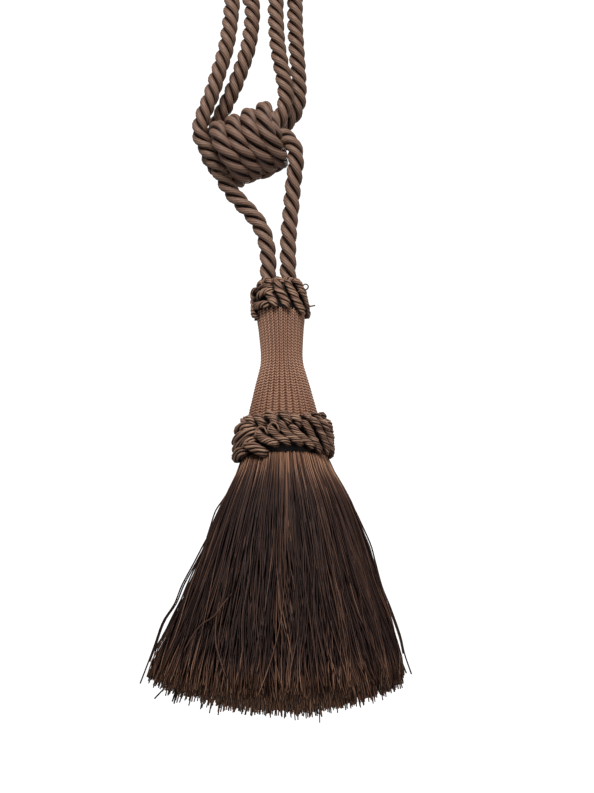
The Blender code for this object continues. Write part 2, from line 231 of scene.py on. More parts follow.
LOW_RING_RADIUS = 0.0255
LOW_UPPER_RADIUS = 0.0222
LOW_TUCK = 0.0036
LOW_STRANDS = 7
LOW_SLEEVE = ((0.0755, 0.0184), (0.0775, 0.0196), (0.0800, 0.0214), (0.0960, 0.0222), (0.0995, 0.0212))
LOW_FRONT_LOBES = (
    # half width, lay, route
    (0.0024, LOBE_LAY, ((-32, 86.8), (-25, 90.1), (-17, 92.0), (-10, 93.5))),
    (0.0021, LOBE_LAY, ((-16, 84.8), (-9, 88.5), (-2, 90.8), (5, 93.0))),
    (0.0021, LOBE_LAY, ((-2, 83.2), (4, 87.6), (12, 90.7), (20, 93.2))),
    (0.0021, LOBE_LAY, ((12, 85.2), (19, 88.6), (27, 91.4), (35, 94.2))),
    (0.0022, LOBE_LAY, ((27, 82.8), (33, 86.9), (40, 91.5), (48, 95.7))),
    (0.0022, LOBE_LAY, ((40, 80.7), (49, 85.1), (57, 90.1), (64, 95.7))),
    (0.0023, LOBE_LAY, ((57, 80.5), (66, 85.5), (74, 90.8), (80, 96.2))),
    (0.0023, LOBE_LAY, ((72, 80.0), (82, 85.0), (90, 90.5), (96, 95.6))),
    (0.0030, 0.026, ((-48, 91.3), (-35, 94.7), (-25, 97.3))),
    (0.0036, 0.070, ((-92, 87.6), (-70, 87.8), (-56, 87.4), (-38, 86.4))),
    (0.0032, 0.070, ((-95, 96.0), (-80, 96.1), (-60, 95.2))),
    (0.0030, 0.040, ((-95, 91.9), (-72, 92.0), (-54, 90.8), (-42, 89.6))),
    (0.0028, 0.030, ((-72, 83.0), (-58, 81.8), (-46, 82.6))),
)
LOW_BACK_BEARINGS = [105 + 14.4 * i for i in range(11)]
LOW_BACK_TURNS = np.array((-11.0, -4.0, 4.0, 11.0))
LOW_BACK_DEPTH = 89.8
LOW_BACK_WIDTH = 0.0022
LOW_UPPER_TUFTS = [(-50, 79.9), (-68, 79.4), (-33, 80.1), (-15, 79.4), (4, 79.4), (20, 81.2), (41, 80.7),
                   (58, 79.2), (80, 78.1), (-88, 82.4)] + [(92 + 17 * i, 79.6) for i in range(11)]
LOW_TUFT_ROUTE = ((-5, -2.7), (0, -0.7), (4, 2.2))
LOW_TUFT_WIDTH = 0.0024
LOW_TUFT_TUCK = 0.0024
LOW_TUFT_FACING = 0.6
LOW_THREAD_LIFT = 0.0018
LOW_THREAD_TUCK = 0.0014
LOW_THREAD_RADIUS = 0.00045
LOW_THREAD_TONE = 0.8
LOW_THREAD_LOOPS = (
    ((-33.0, 88.4), (-31.0, 85.4), (-26.5, 84.0), (-21.5, 84.6), (-18.5, 87.4)),
    ((-17.5, 86.4), (-15.5, 83.6), (-11.5, 82.2), (-7.0, 83.4), (-4.5, 86.2)),
)

TOP_RING_RADIUS = 0.0149
TOP_LOBE_LAY = 0.0120
TOP_TUCK = 0.0022
TOP_STRANDS = 6
TOP_GAIN = 1.16
TOP_SLEEVE = ((0.0002, 0.0060), (0.0012, 0.0112), (0.0030, 0.0128), (0.0080, 0.0134), (0.0150, 0.0136),
              (0.0165, 0.0124))
TOP_FRONT_LOBES = (
    # half width, route
    (0.00250, ((-5, 2.8), (-2, 6.4), (5, 10.1), (10, 13.2), (14, 15.2))),
    (0.00245, ((17, 3.0), (25, 7.0), (34, 11.3), (43, 14.9), (53, 17.4))),
    (0.00190, ((49, 6.4), (61, 8.8), (71, 12.2), (81, 15.5), (87, 18.0))),
    (0.00220, ((36, 1.2), (45, 3.6), (53, 6.1))),
    (0.00210, ((-49, 8.4), (-36, 6.8), (-22, 6.6))),
    (0.00235, ((-25, 8.7), (-18, 11.5), (-13, 14.4))),
    (0.00235, ((-65, 13.0), (-46, 13.7), (-32, 13.8))),
    (0.00190, ((-77, 3.4), (-87, 5.2), (-87, 7.2))),
    (0.00190, ((-87, 7.4), (-87, 11.4), (-83, 15.2), (-69, 18.2))),
    (0.00120, ((-50, 3.8), (-35, 3.2), (-21, 4.3))),
)
TOP_BACK_BEARINGS = [130 + 21 * i for i in range(7)]
TOP_BACK_TURNS = np.array((-12.0, -5.0, 5.0, 14.0))
TOP_BACK_DEPTH = 9.5
TOP_BACK_WIDTH = 0.0024
TOP_SIDE_INSET = 0.0018
TOP_SIDE_TUCK = 0.0016
TOP_SIDE_WIDTH = 0.0019
TOP_SIDE_LOBES = (
    ((74, 4.0), (84, 7.5), (94, 11.0), (103, 14.5)),
    ((94, 3.0), (104, 6.5), (114, 10.0), (124, 13.5)),
    ((250, 4.0), (260, 6.0), (269, 9.0)),
)
TOP_CROWN_RADIUS = 0.0110
TOP_CROWN_BEARINGS = [-172 + 33 * i for i in range(11)]
TOP_CROWN_ROUTE = ((-15, 1.2), (0, -0.7), (15, 1.6))
TOP_CROWN_WIDTH = 0.0021
TOP_CROWN_TUCK = 0.0012
TOP_CROWN_FACING = 1.2
TOP_THREAD_STEP = 0.0006
TOP_THREAD_RADIUS = 0.00042
TOP_THREAD_TONE = 0.45
TOP_THREAD_ENDS = (
    # x, y, z
    ((13.0, -6.4, -4.6), (14.6, -6.4, -4.2), (15.6, -6.2, -2.8), (15.0, -6.0, -1.4), (13.6, -6.0, -1.2),
     (12.6, -6.2, -2.2), (12.6, -6.4, -3.6)),
    ((15.6, -3.0, -13.2), (17.4, -3.0, -12.9), (19.2, -3.0, -12.6)),
)

# Skirt: loose threads in three pieces, the inner ones first.
SKIRT_LAYERS = (
    # piece, seed, threads, from and to which share of the outline, rings along a thread
    ("skirt_inner", 31, 1500, (0.15, 0.85), 10),
    ("skirt_middle", 32, 1400, (0.84, 0.96), 15),
    ("skirt_outer", 33, 1500, (0.92, 1.0), 15),
)
SKIRT_TOP = 0.0988
SKIRT_DEEPEST = 0.2300
GOLDEN_TURN = math.radians(137.508)
THREAD_RADIUS = 0.00040
THREAD_SIDES = 3
# A thread has painted light on the side that faces out and painted shade on its other two sides, and
# is thinner above where it comes free.
THREAD_SHADES = (1.25, 0.35, 0.35)
THREAD_ROOT_WIDTH = 0.78
THREAD_FREE_FROM = 0.35
# The skirt's outline: at each share of a thread's fall, how far out the outermost threads hang
# on the left, on the right, and at the front and back; and how deep those threads end.
OUTLINE_SHARE = (0.0, 0.2, 0.4, 0.6, 0.8, 1.0)
OUTLINE_LEFT = (0.0222, 0.0338, 0.0430, 0.0520, 0.0628, 0.0742)
OUTLINE_RIGHT = (0.0226, 0.0352, 0.0425, 0.0482, 0.0556, 0.0608)
OUTLINE_FRONT = (0.0228, 0.0345, 0.0440, 0.0520, 0.0600, 0.0680)
END_LEFT = 0.2105
END_RIGHT = 0.2138
END_FRONT = 0.2212
OUTLINE_REACH = 0.2
OUTLINE_BLUR = 15

# How the threads stray, in metres at their ends. Waves are shared by neighbours.
LAYER_POWER = 1.05
ROOT_DRAWN_IN = 0.15
ROOT_UNEVEN = 0.0016
END_POWER = 3.0
END_UNEVEN = 0.0022
FREE_POWER = 1.2
WAVE_SEED = 77
WAVE_SIDEWAYS = 0.0021
WAVE_OUTWARD = 0.0012
DRIFT = 0.0022
OWN_TURNS = (0.4, 3.2)
OWN_SIDEWAYS = 0.0027
OWN_OUTWARD = 0.0006
STRAY_SHARE = 0.17
STRAY_SIDEWAYS = 0.0055
STRAY_OUTWARD = (0.0002, 0.0014)

# The threads' tones: dark, with some pale threads; painted light on the outer roots, on the tips
# and in a sheen patch; painted shade on the inner threads up high.
SKIRT_TONE = 0.085
SKIRT_TONE_LOW = 0.035
SKIRT_LOW_FROM = 0.5
SKIRT_LOW_RUN = 0.3
OWN_TONE = 0.50
PALE_SHARE = 0.35
PALE_TONES = (0.40, 0.90)
DARK_TONES = (0.0, 0.40)
WAVE_TONE = 0.04
BAND_TONE = 0.07
BAND_TURNS = (0.8, 3.0)
ROOT_LIGHT_LENGTHS = (0.08, 0.27)
ROOT_LIGHT_RIGHT = 0.06
ROOT_LIGHT_TONES = (0.28, 0.76)
ROOT_LIGHT_FRONT = 0.88
ROOT_LIGHT_SIDES = 0.40
ROOT_LAYER_FROM = 0.55
ROOT_LAYER_RUN = 0.35
BEHIND_SHADE = 0.30
BEHIND_LAYER_FROM = 0.93
BEHIND_LAYER_RUN = 0.05
BEHIND_FALL_FROM = 0.10
BEHIND_FALL_RUN = 0.50
SHEEN_PATCH_BEARING = math.radians(327)
SHEEN_PATCH_HALF_WIDTH = 0.28
SHEEN_PATCH_MIDDLE = 0.55
SHEEN_PATCH_HALF_LENGTH = 0.24
SHEEN_PATCH_TONE = 0.12
TIP_FROM = 0.86
TIP_LIGHT = 0.38
TIP_LIGHT_INSIDE = 0.80

# Threads that stand off the skirt: x, y and depth, in mm. The last two are pale and lie on it.
LOOSE_THREADS = (
    ((-41.0, -3.0, 138.0), (-44.6, 0.0, 143.5), (-49.2, 0.0, 152.1), (-56.0, 0.0, 164.3), (-60.2, 0.0, 174.3),
     (-66.4, 0.0, 183.6), (-70.8, 0.0, 195.6), (-74.1, 0.0, 204.3), (-78.5, 0.0, 215.4)),
    ((-44.5, -3.0, 147.0), (-47.9, 0.0, 152.8), (-52.5, 0.0, 162.5), (-57.0, 0.0, 173.0), (-60.5, 0.0, 181.2),
     (-64.0, 0.0, 187.4), (-70.3, 0.0, 197.0), (-73.6, 0.0, 203.3)),
    ((-66.0, 0.0, 195.0), (-69.0, 0.0, 200.8), (-72.0, 0.0, 206.5), (-75.0, 0.0, 212.0)),
    ((-63.0, 0.0, 194.0), (-67.4, 0.0, 202.4), (-69.8, 0.0, 208.1), (-72.8, 0.0, 213.7)),
    ((-55.0, 0.0, 204.0), (-59.6, 0.0, 210.9), (-64.5, 0.0, 216.7), (-71.0, 0.0, 223.4)),
    ((-50.0, -8.0, 196.0), (-53.5, -8.0, 206.0), (-57.5, -8.0, 216.0), (-61.0, -8.0, 225.0)),
    ((-49.0, -14.0, 198.0), (-53.0, -14.0, 209.0), (-57.5, -14.0, 218.0), (-59.5, -14.0, 226.0)),
    ((-44.0, -24.0, 200.0), (-46.5, -24.0, 212.0), (-51.0, -24.0, 224.5)),
    ((28.0, -6.0, 110.0), (36.8, 0.0, 125.0), (41.1, 0.0, 134.6), (45.5, 0.0, 145.5), (47.4, 0.0, 153.6),
     (50.7, 0.0, 167.8), (54.7, 0.0, 178.7), (59.5, 0.0, 193.8), (61.3, 0.0, 203.4), (64.6, 0.0, 214.1)),
    ((34.0, 0.0, 118.0), (38.8, 0.0, 131.0), (42.8, 0.0, 143.0), (44.8, 0.0, 156.0), (47.5, 0.0, 168.0)),
    ((45.0, 0.0, 158.0), (48.5, 0.0, 168.5), (50.9, 0.0, 175.3), (54.3, 0.0, 189.4), (59.5, 0.0, 206.6),
     (61.9, 0.0, 213.5)),
    ((-28.6, -6.0, 113.0), (-33.0, 0.0, 118.4), (-37.4, 0.0, 124.6), (-39.4, 0.0, 130.0), (-41.1, 0.0, 135.3),
     (-42.4, -1.0, 139.6), (-43.5, -4.0, 147.0)),
    ((-27.6, -43.0, 172.1), (-32.7, -47.4, 178.7), (-36.5, -47.1, 183.5), (-43.4, -44.0, 187.7),
     (-48.8, -43.2, 194.7), (-51.8, -43.8, 200.4)),
    ((-34.0, -40.1, 174.9), (-35.4, -49.2, 186.6), (-35.3, -53.8, 196.9), (-32.8, -58.8, 205.9),
     (-30.2, -62.6, 213.0)),
)
LOOSE_STEP = 0.003
LOOSE_SIDES = 4
LOOSE_TONE = 0.25
FIRST_PALE_THREAD = 12
LOOSE_PALE_TONE = 0.50
# A long one far out at the side has a fellow a little inside it.
FELLOW_POINTS = 8
FELLOW_REACH = 60.0
FELLOW_INSET = (0.0016, 0.0009)
FELLOW_FORWARD = 0.0025
FELLOW_TONE = 0.30

# Routes of the rope, as in the part: x, y, z down or up each strand.
LEFT_LEG_AND_STRAND_1 = (
    (0.0027, 0.0000, -0.2120),
    (0.0028, 0.0000, -0.1987),
    (0.0021, 0.0000, -0.1905),
    (0.0006, 0.0000, -0.1835),
    (-0.0019, 0.0000, -0.1776),
    (-0.0060, 0.0000, -0.1714),
    (-0.0107, 0.0000, -0.1661),
    (-0.0159, 0.0000, -0.1602),
    (-0.0201, 0.0002, -0.1544),
    (-0.0238, 0.0010, -0.1474),
    (-0.0273, 0.0012, -0.1400),
    (-0.0314, 0.0006, -0.1331),
    (-0.0350, 0.0000, -0.1274),
    (-0.0366, -0.0006, -0.1205),
    (-0.0342, -0.0015, -0.1106),
    (-0.0303, -0.0025, -0.1006),
    (-0.0260, -0.0035, -0.0864),
    (-0.0222, -0.0045, -0.0733),
    (-0.0201, -0.0049, -0.0599),
    (-0.0188, -0.0049, -0.0450),
    (-0.0184, -0.0049, -0.0290),
)
STRAND_3 = (
    (0.0167, -0.0049, -0.0225),
    (0.0126, -0.0049, -0.0295),
    (0.0082, -0.0049, -0.0370),
    (0.0066, -0.0049, -0.0440),
    (0.0068, -0.0049, -0.0580),
    (0.0077, -0.0046, -0.0703),
    (0.0093, -0.0040, -0.0805),
    (0.0112, -0.0030, -0.0899),
    (0.0124, -0.0018, -0.0979),
    (0.0122, -0.0004, -0.1041),
    (0.0107, 0.0004, -0.1092),
    (0.0086, 0.0010, -0.1137),
    (0.0058, 0.0013, -0.1175),
)
STRAND_2 = (
    (-0.0276, 0.0156, -0.1376),
    (-0.0303, 0.0160, -0.1347),
    (-0.0320, 0.0163, -0.1308),
    (-0.0323, 0.0164, -0.1264),
    (-0.0306, 0.0155, -0.1186),
    (-0.0269, 0.0128, -0.1096),
    (-0.0222, 0.0098, -0.1005),
    (-0.0177, 0.0075, -0.0911),
    (-0.0137, 0.0060, -0.0808),
    (-0.0099, 0.0050, -0.0688),
    (-0.0080, 0.0049, -0.0570),
    (-0.0072, 0.0049, -0.0440),
    (-0.0086, 0.0049, -0.0370),
    (-0.0128, 0.0049, -0.0295),
    (-0.0168, 0.0049, -0.0225),
)
STRAND_4 = (
    (0.0182, 0.0049, -0.0260),
    (0.0178, 0.0049, -0.0374),
    (0.0178, 0.0049, -0.0532),
    (0.0186, 0.0052, -0.0687),
    (0.0194, 0.0065, -0.0806),
    (0.0199, 0.0086, -0.0908),
    (0.0195, 0.0108, -0.0985),
    (0.0171, 0.0132, -0.1052),
    (0.0129, 0.0150, -0.1098),
    (0.0090, 0.0161, -0.1136),
    (0.0067, 0.0163, -0.1180),
    (0.0060, 0.0158, -0.1221),
)
RIGHT_LEG = (
    (0.0063, -0.0050, -0.1260),
    (0.0088, -0.0053, -0.1258),
    (0.0114, -0.0056, -0.1265),
    (0.0138, -0.0056, -0.1280),
    (0.0158, -0.0055, -0.1303),
    (0.0172, -0.0053, -0.1331),
    (0.0181, -0.0050, -0.1364),
    (0.0183, -0.0045, -0.1401),
    (0.0180, -0.0035, -0.1448),
    (0.0169, -0.0014, -0.1525),
    (0.0160, 0.0000, -0.1610),
    (0.0153, 0.0000, -0.1693),
    (0.0145, 0.0000, -0.1776),
    (0.0139, 0.0000, -0.1888),
    (0.0139, 0.0000, -0.1987),
    (0.0139, 0.0000, -0.2120),
)


# ---------------------------------------------------------------- curves

def smooth_line(route, step):
    """Walk a Catmull-Rom curve through the route's points in even steps."""
    route = np.asarray(route, float)
    padded = np.vstack((2 * route[0] - route[1], route, 2 * route[-1] - route[-2]))
    t = (np.arange(CURVE_PARTS) / CURVE_PARTS)[:, None]
    fine = []
    for before, start, stop, after in zip(padded, padded[1:], padded[2:], padded[3:]):
        fine.append(0.5 * (2 * start + (stop - before) * t
                           + (2 * before - 5 * start + 4 * stop - after) * t ** 2
                           + (3 * start - before - 3 * stop + after) * t ** 3))
    return even_line(np.vstack(fine + [route[-1:]]), step)


def even_line(line, step):
    """Put points at even steps along a line."""
    walked = distances(line)
    count = max(2, round(walked[-1] / step))
    at = np.linspace(0.0, walked[-1], count + 1)
    return np.stack([np.interp(at, walked, line[:, axis]) for axis in range(3)], axis=1)


def distances(line):
    """Return how far along the line each point is."""
    runs = np.linalg.norm(np.diff(line, axis=0), axis=1)
    return np.concatenate(([0.0], np.cumsum(runs)))


def unit(rows):
    """Scale each row to length 1."""
    return rows / np.linalg.norm(rows, axis=-1, keepdims=True)


def frames(line):
    """Return tangents, and two directions across that are carried along without a twist."""
    along = unit(np.gradient(line, axis=0))
    side = np.cross(along[0], (0.0, 1.0, 0.0))
    if np.linalg.norm(side) < 0.2:
        side = np.cross(along[0], (1.0, 0.0, 0.0))
    across = np.empty_like(line)
    for i, tangent in enumerate(along):
        side = side - tangent * side.dot(tangent)
        side = side / math.sqrt(side.dot(side))
        across[i] = side
    return along, across, np.cross(along, across)


def ease(t):
    """Rise smoothly from 0 to 1."""
    t = np.clip(t, 0.0, 1.0)
    return t * t * (3 - 2 * t)


# ---------------------------------------------------------------- meshes

class Weave:
    """Collects closed tubes, then makes one mesh of them.

    Each point has a tone, which holds painted shade and light as well as own colour: 0 in
    the shade of its neighbours and 1 on a lit crest; and a grain, the coordinates in which its
    fibres run along z.
    """

    def __init__(self):
        self.points, self.tones, self.grains = [], [], []
        self.quads, self.triangles = [], []
        self.count = 0

    def tubes(self, rings, tones, around_grain, along_grain):
        """Add tubes of one shape: rings is (tubes, rings, sides, 3), tones (tubes, rings, sides)."""
        tubes, length, sides, _ = rings.shape
        ends = rings[:, (0, -1)].mean(axis=2)
        turn = np.arange(sides) / sides * TAU
        grain = np.empty(rings.shape)
        grain[..., 0] = np.cos(turn) * around_grain
        grain[..., 1] = np.sin(turn) * around_grain
        grain[..., 2] = along_grain[..., None]
        grain_ends = np.zeros((tubes, 2, 3))
        grain_ends[..., 2] = along_grain[:, (0, -1)]
        size = length * sides
        each = size + 2
        points = np.concatenate((rings.reshape(tubes, size, 3), ends), axis=1)
        grains = np.concatenate((grain.reshape(tubes, size, 3), grain_ends), axis=1)
        shades = np.concatenate((tones.reshape(tubes, size), tones[:, (0, -1)].mean(axis=2)), axis=1)
        i = np.arange(length - 1)[:, None] * sides
        k = np.arange(sides)
        after = (k + 1) % sides
        quads = np.stack((i + k, i + after, i + sides + after, i + sides + k), axis=-1).reshape(-1, 4)
        last = size - sides
        caps = np.concatenate((np.stack((np.full(sides, size), after, k), axis=-1),
                               np.stack((np.full(sides, size + 1), last + k, last + after), axis=-1)))
        starts = (self.count + np.arange(tubes) * each)[:, None, None]
        self.quads.append((quads + starts).reshape(-1, 4))
        self.triangles.append((caps + starts).reshape(-1, 3))
        self.points.append(points.reshape(-1, 3))
        self.tones.append(shades.reshape(-1))
        self.grains.append(grains.reshape(-1, 3))
        self.count += tubes * each

    def tube(self, line, radius, sides, tone):
        """Add one round tube along a line. radius and tone may vary along it."""
        _, across, up = frames(line)
        turn = np.arange(sides) / sides * TAU
        radius = np.broadcast_to(radius, len(line))[:, None, None]
        ring = np.cos(turn)[:, None] * across[:, None] + np.sin(turn)[:, None] * up[:, None]
        tone = np.broadcast_to(np.asarray(tone, float).reshape(-1, 1), (len(line), sides))
        self.tubes((line[:, None] + radius * ring)[None], tone[None], 1.0, distances(line)[None])

    def piece(self, name, material):
        """Make one smooth mesh object of all the tubes, in place."""
        mesh = bpy.data.meshes.new(name)
        faces = np.vstack(self.quads).tolist() + np.vstack(self.triangles).tolist()
        mesh.from_pydata(np.vstack(self.points).tolist(), [], faces)
        mesh.attributes.new("tone", "FLOAT", "POINT").data.foreach_set(
            "value", np.concatenate(self.tones).astype(np.float32))
        mesh.attributes.new("grain", "FLOAT_VECTOR", "POINT").data.foreach_set(
            "vector", np.vstack(self.grains).astype(np.float32).ravel())
        mesh.shade_smooth()
        mesh.materials.append(material)
        piece = bpy.data.objects.new(name, mesh)
        bpy.context.scene.collection.objects.link(piece)
        return piece


def hung(points):
    """Set points that are modelled down from the head's top in their place."""
    turn = np.array(HANG.to_3x3())
    return points @ turn.T + np.array(HANG.translation)


# ---------------------------------------------------------------- materials

def yarn_material(name, ramp, roughness, specular, sheen, grain_scale, colour_noise, bump, bump_distance):
    """A silky yarn: a colour ramp over tone, broken up by fibres that run along the grain."""
    made = bpy.data.materials.new(name)
    made.use_nodes = True
    nodes = made.node_tree.nodes
    link = made.node_tree.links.new
    shader = nodes["Principled BSDF"]

    tone = nodes.new("ShaderNodeAttribute")
    tone.attribute_name = "tone"
    grain = nodes.new("ShaderNodeAttribute")
    grain.attribute_name = "grain"
    stretch = nodes.new("ShaderNodeMapping")
    stretch.inputs["Scale"].default_value = grain_scale
    link(grain.outputs["Vector"], stretch.inputs["Vector"])

    fibres = nodes.new("ShaderNodeTexNoise")
    fibres.inputs["Scale"].default_value = 1.0
    fibres.inputs["Detail"].default_value = 3.0
    link(stretch.outputs["Vector"], fibres.inputs["Vector"])

    spread = nodes.new("ShaderNodeMath")
    spread.operation = "MULTIPLY_ADD"
    spread.inputs[1].default_value = colour_noise
    spread.inputs[2].default_value = -0.5 * colour_noise
    link(fibres.outputs["Fac"], spread.inputs[0])
    total = nodes.new("ShaderNodeMath")
    total.operation = "ADD"
    link(tone.outputs["Fac"], total.inputs[0])
    link(spread.outputs["Value"], total.inputs[1])

    colours = nodes.new("ShaderNodeValToRGB")
    elements = colours.color_ramp.elements
    while len(elements) < len(ramp):
        elements.new(0.5)
    for element, (place, colour) in zip(elements, ramp):
        element.position = place
        element.color = linear(colour)
    link(total.outputs["Value"], colours.inputs["Fac"])
    link(colours.outputs["Color"], shader.inputs["Base Color"])

    raised = nodes.new("ShaderNodeBump")
    raised.inputs["Strength"].default_value = bump
    raised.inputs["Distance"].default_value = bump_distance
    link(fibres.outputs["Fac"], raised.inputs["Height"])
    link(raised.outputs["Normal"], shader.inputs["Normal"])

    shader.inputs["Roughness"].default_value = roughness
    shader.inputs["Specular IOR Level"].default_value = specular
    shader.inputs["Sheen Weight"].default_value = sheen
    shader.inputs["Sheen Roughness"].default_value = 0.45
    shader.inputs["Sheen Tint"].default_value = linear("d8b9a4")
    return made


def linear(colour):
    """Turn a hex colour into linear red, green, blue and alpha."""
    parts = [int(colour[i:i + 2], 16) / 255 for i in (0, 2, 4)]
    return [c / 12.92 if c <= 0.04045 else ((c + 0.055) / 1.055) ** 2.4 for c in parts] + [1.0]


def plain_material(name, colour, roughness):
    """A matt finish with a faint mottle, for the floor."""
    made = bpy.data.materials.new(name)
    made.use_nodes = True
    nodes = made.node_tree.nodes
    shader = nodes["Principled BSDF"]
    mottle = nodes.new("ShaderNodeTexNoise")
    mottle.inputs["Scale"].default_value = 3.0
    colours = nodes.new("ShaderNodeValToRGB")
    colours.color_ramp.elements[0].color = (0.93 * colour, 0.93 * colour, 0.93 * colour, 1.0)
    colours.color_ramp.elements[1].color = (colour, colour, colour, 1.0)
    made.node_tree.links.new(mottle.outputs["Fac"], colours.inputs["Fac"])
    made.node_tree.links.new(colours.outputs["Color"], shader.inputs["Base Color"])
    shader.inputs["Roughness"].default_value = roughness
    shader.inputs["Emission Color"].default_value = (1.0, 1.0, 1.0, 1.0)
    shader.inputs["Emission Strength"].default_value = FLOOR_GLOW
    return made


ROPE_YARN = yarn_material(
    "rope_yarn", ((0.0, "120806"), (0.3, "36241b"), (0.65, "61483b"), (1.0, "836857")),
    roughness=0.50, specular=0.26, sheen=0.08, grain_scale=(5.5, 5.5, 260.0), colour_noise=0.35,
    bump=0.5, bump_distance=0.0003)
# The rope's yarn a little darker: painted shade for the knot, whose wraps lie in shade.
KNOT_YARN_SHADED = yarn_material(
    "knot_yarn_shaded", ((0.0, "130908"), (0.3, "36241d"), (0.65, "61483b"), (1.0, "806556")),
    roughness=0.50, specular=0.24, sheen=0.06, grain_scale=(5.5, 5.5, 260.0), colour_noise=0.35,
    bump=0.5, bump_distance=0.0003)
RUFF_YARN = yarn_material(
    "ruff_yarn", ((0.0, "070303"), (0.35, "48332a"), (0.7, "755848"), (1.0, "a07f69")),
    roughness=0.56, specular=0.18, sheen=0.05, grain_scale=(3.0, 3.0, 300.0), colour_noise=0.40,
    bump=0.4, bump_distance=0.0002)
KNIT_YARN = yarn_material(
    "knit_yarn", ((0.0, "1c0c07"), (0.5, "704a37"), (1.0, "cb9f86")),
    roughness=0.50, specular=0.20, sheen=0.0, grain_scale=(1.0, 1.0, 1.0), colour_noise=0.20,
    bump=0.3, bump_distance=0.0002)
SKIRT_YARN = yarn_material(
    "skirt_yarn", ((0.0, "0f0605"), (0.30, "301f1a"), (0.6, "593e31"), (1.0, "a97f65")),
    roughness=0.55, specular=0.16, sheen=0.0, grain_scale=(1.6, 1.6, 240.0), colour_noise=0.16,
    bump=0.3, bump_distance=0.0002)


# ---------------------------------------------------------------- camera

def make_camera():
    """Put the camera where the photograph was taken from."""
    data = bpy.data.cameras.new("camera")
    data.sensor_fit = "AUTO"
    data.sensor_width = SENSOR
    data.lens = FOCAL_PIXELS * SENSOR / PHOTO_HEIGHT
    data.clip_start = 0.01
    data.clip_end = 200.0
    camera = bpy.data.objects.new("camera", data)
    camera.location = CAMERA_PLACE
    camera.rotation_euler = (math.pi / 2 + CAMERA_PITCH, 0.0, 0.0)
    bpy.context.scene.collection.objects.link(camera)
    bpy.context.scene.camera = camera


# ---------------------------------------------------------------- rope

def lay_plies(weave, line, seed, lays=(LEG_LAY, LOOP_LAY), ply_radius=PLY_RADIUS):
    """Lay three plies along a rope's centreline. lays are its lay below and above LAY_HEIGHTS."""
    rng = np.random.default_rng(seed)
    along, across, up = frames(line)
    walked = distances(line)
    lay = np.interp(line[:, 2], LAY_HEIGHTS, lays)
    turned = TAU * np.cumsum(np.diff(walked, prepend=0.0) / lay)
    turn = np.arange(PLY_SIDES) / PLY_SIDES * TAU
    for ply in range(ROPE_PLIES):
        laid = TAU * ply / ROPE_PLIES - turned
        outward = np.cos(laid)[:, None] * across + np.sin(laid)[:, None] * up
        centres = line + PLY_OFFSET * outward
        ply_along = unit(np.gradient(centres, axis=0))
        outward = unit(outward - ply_along * (outward * ply_along).sum(axis=1, keepdims=True))
        sideways = np.cross(ply_along, outward)
        ridge = np.sin(YARN_RIDGES * turn + TAU * YARN_TURNS_PER_METRE * walked[:, None]
                       + rng.uniform(0, TAU))
        swell = PLY_SWELL * np.sin(TAU * walked / PLY_SWELL_LENGTH + rng.uniform(0, TAU))
        radius = ply_radius * (1 + YARN_RELIEF * ridge + swell[:, None])
        rings = centres[:, None] + radius[..., None] * (
            np.cos(turn)[:, None] * outward[:, None] + np.sin(turn)[:, None] * sideways[:, None])
        # Painted shade: the plies darken towards the rope's middle, in the grooves between them; painted
        # light lifts each yarn ridge's crest.
        out = np.linalg.norm(rings - line[:, None], axis=2) / (PLY_OFFSET + ply_radius)
        tones = ease((out - PLY_SHADE_FROM) / PLY_SHADE_RUN) * (PLY_TONE + RIDGE_LIGHT * ridge)
        weave.tubes(rings[None], tones[None], 1.0, walked[None])


def loop_arc(side):
    """Return the half circle over the hook, from -X to +X, at one side of it."""
    turn = math.pi * np.arange(ARC_PARTS + 1) / ARC_PARTS
    return np.stack((-LOOP_RADIUS * np.cos(turn), np.full(len(turn), side),
                     LOOP_CENTRE_Z + LOOP_RADIUS * np.sin(turn)), axis=1)


def make_rope(name, route, seed):
    line = smooth_line(route, ROPE_STEP)
    weave = Weave()
    lay_plies(weave, line, seed)
    piece = weave.piece(name + "_yarn", ROPE_YARN)
    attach(piece, "root")
    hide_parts(name)
    return piece, line


def make_ropes():
    """Make the two looped ropes and the right leg."""
    front = np.vstack((LEFT_LEG_AND_STRAND_1, loop_arc(-LOOP_SIDE_STEP), STRAND_3))
    back = np.vstack((STRAND_2, loop_arc(LOOP_SIDE_STEP), STRAND_4))
    leg = np.array(RIGHT_LEG)[::-1]
    for name, route, seed, lay in (("rope_front_loop", front, 1, "hanging"),
                                   ("rope_back_loop", back, 2, "hanging"),
                                   ("rope_right_leg", leg, 3, "taut")):
        piece, line = make_rope(name, route, seed)


# ---------------------------------------------------------------- knot

def round_the_knot(wound, radius, shift):
    """Return points round the knot's axis. A turn starts at its top and goes down behind it."""
    return (KNOT_CENTRE + KNOT_AXIS * shift[:, None]
            + radius[:, None] * (KNOT_UPWARD * np.cos(wound)[:, None] + BACKWARD * np.sin(wound)[:, None]))


def wrap_line(side):
    """Wind two wraps from one end of the knot to its middle, then tuck the end in."""
    start = 0.5 * math.pi
    stop = TAU * WRAPS_EACH_SIDE + TUCK_TURN
    wound = np.linspace(start, stop, math.ceil((stop - start) / WRAP_STEP) + 1)
    lap, part = np.divmod(wound, TAU)
    tucked = ease((wound - TAU * WRAPS_EACH_SIDE) / TUCK_TURN)
    moved = lap - 0.5 - WRAPS_EACH_SIDE + np.where(lap < WRAPS_EACH_SIDE, ease(part / math.pi), 0.0)
    radius = WRAP_RADIUS + (TUCK_RADIUS - WRAP_RADIUS) * tucked
    low = 0.5 * (1 - np.cos(wound))
    shift = -side * moved * WRAP_SPACING * (1 - BOTTOM_PINCH * low)
    shift -= BOTTOM_SHIFT * low + FRONT_BOW * np.sin(wound) ** 2
    return even_line(round_the_knot(wound, radius, shift), ROPE_STEP)


